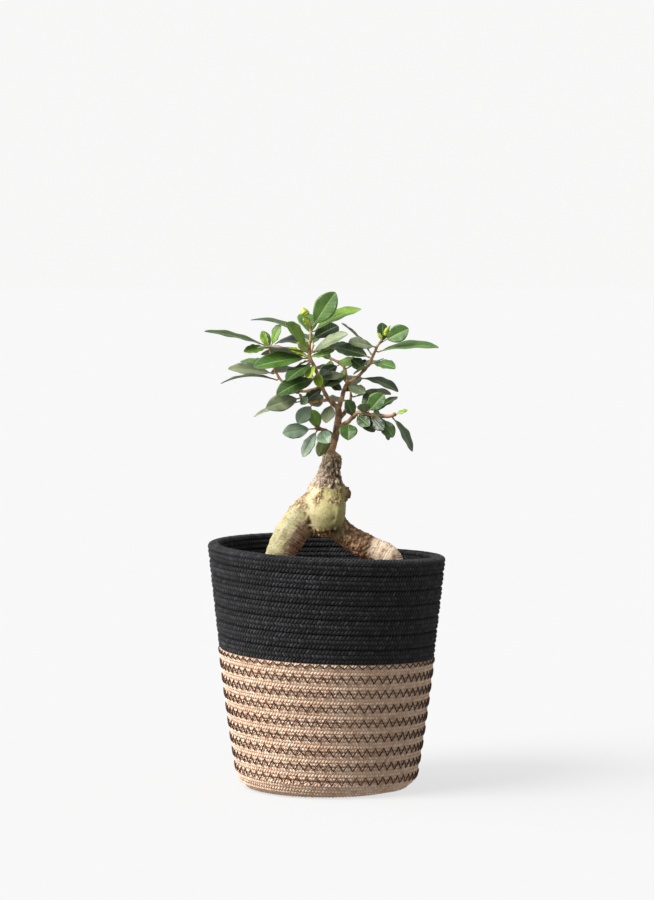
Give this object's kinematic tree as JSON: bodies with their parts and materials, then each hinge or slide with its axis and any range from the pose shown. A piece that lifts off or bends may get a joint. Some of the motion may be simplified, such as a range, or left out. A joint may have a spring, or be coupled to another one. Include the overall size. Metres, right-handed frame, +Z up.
{
  "type": "bonsai tree in a woven rope basket",
  "caption": "Small grafted fig bonsai on thick spreading roots, in a nursery pot inside a two-tone coiled rope basket.",
  "frame": {"origin": "centre of the basket's underside, on the surface it stands on", "axes": "+Z up along the plant; -Y is the front, where the legs of the rootstock are seen side by side; +X to the right"},
  "size_m": [0.1626, 0.1606, 0.3341],
  "materials": {
    "jute_rope": "matte braided jute with dark zigzag stitching",
    "black_rope": "matte braided cotton",
    "nursery_plastic": "thin black moulded plastic",
    "potting_soil": "loose crumbly soil",
    "root_bark": "pale ringed root bark with a corky neck",
    "branch_bark": "thin brown bark",
    "leaf_green": "waxy leaf",
    "bud_green": "young waxy growth"
  },
  "bodies": {
    "root": {"back_leaf_01": "leaf_green", "back_leaf_02": "leaf_green", "back_leaf_03": "leaf_green", "black_basket": "black_rope", "bud_left": "bud_green", "bud_right": "bud_green", "bud_top": "bud_green", "far_left_leaf_01": "leaf_green", "far_left_leaf_02": "leaf_green", "far_left_leaf_03": "leaf_green", "far_left_leaf_04": "leaf_green", "far_left_leaf_05": "leaf_green", "far_left_leaf_06": "leaf_green", "jute_basket": "jute_rope", "left_leaf_01": "leaf_green", "left_leaf_02": "leaf_green", "left_leaf_03": "leaf_green", "left_leaf_04": "leaf_green", "left_leaf_05": "leaf_green", "left_leaf_06": "leaf_green", "left_leaf_07": "leaf_green", "left_leaf_08": "leaf_green", "left_leaf_09": "leaf_green", "left_leaf_10": "leaf_green", "left_leaf_11": "leaf_green", "left_leaf_12": "leaf_green", "left_leaf_13": "leaf_green", "low_left_leaf_01": "leaf_green", "low_left_leaf_02": "leaf_green", "low_left_leaf_03": "leaf_green", "low_right_leaf_01": "leaf_green", "low_right_leaf_02": "leaf_green", "low_right_leaf_03": "leaf_green", "low_right_leaf_04": "leaf_green", "low_right_leaf_05": "leaf_green", "low_right_leaf_06": "leaf_green", "low_right_leaf_07": "leaf_green", "mid_left_leaf_01": "leaf_green", "mid_left_leaf_02": "leaf_green", "mid_left_leaf_03": "leaf_green", "nursery_pot": "nursery_plastic", "rear_left_leaf_01": "leaf_green", "rear_left_leaf_02": "leaf_green", "rear_left_leaf_03": "leaf_green", "rear_left_leaf_04": "leaf_green", "rear_left_leaf_05": "leaf_green", "rear_low_leaf_01": "leaf_green", "rear_low_leaf_02": "leaf_green", "rear_low_leaf_03": "leaf_green", "right_leaf_01": "leaf_green", "right_leaf_02": "leaf_green", "right_leaf_03": "leaf_green", "right_leaf_04": "leaf_green", "right_leaf_05": "leaf_green", "right_leaf_06": "leaf_green", "right_leaf_07": "leaf_green", "right_leaf_08": "leaf_green", "rootstock": "root_bark", "soil": "potting_soil", "stem": "branch_bark"}
  },
  "joints": []
}
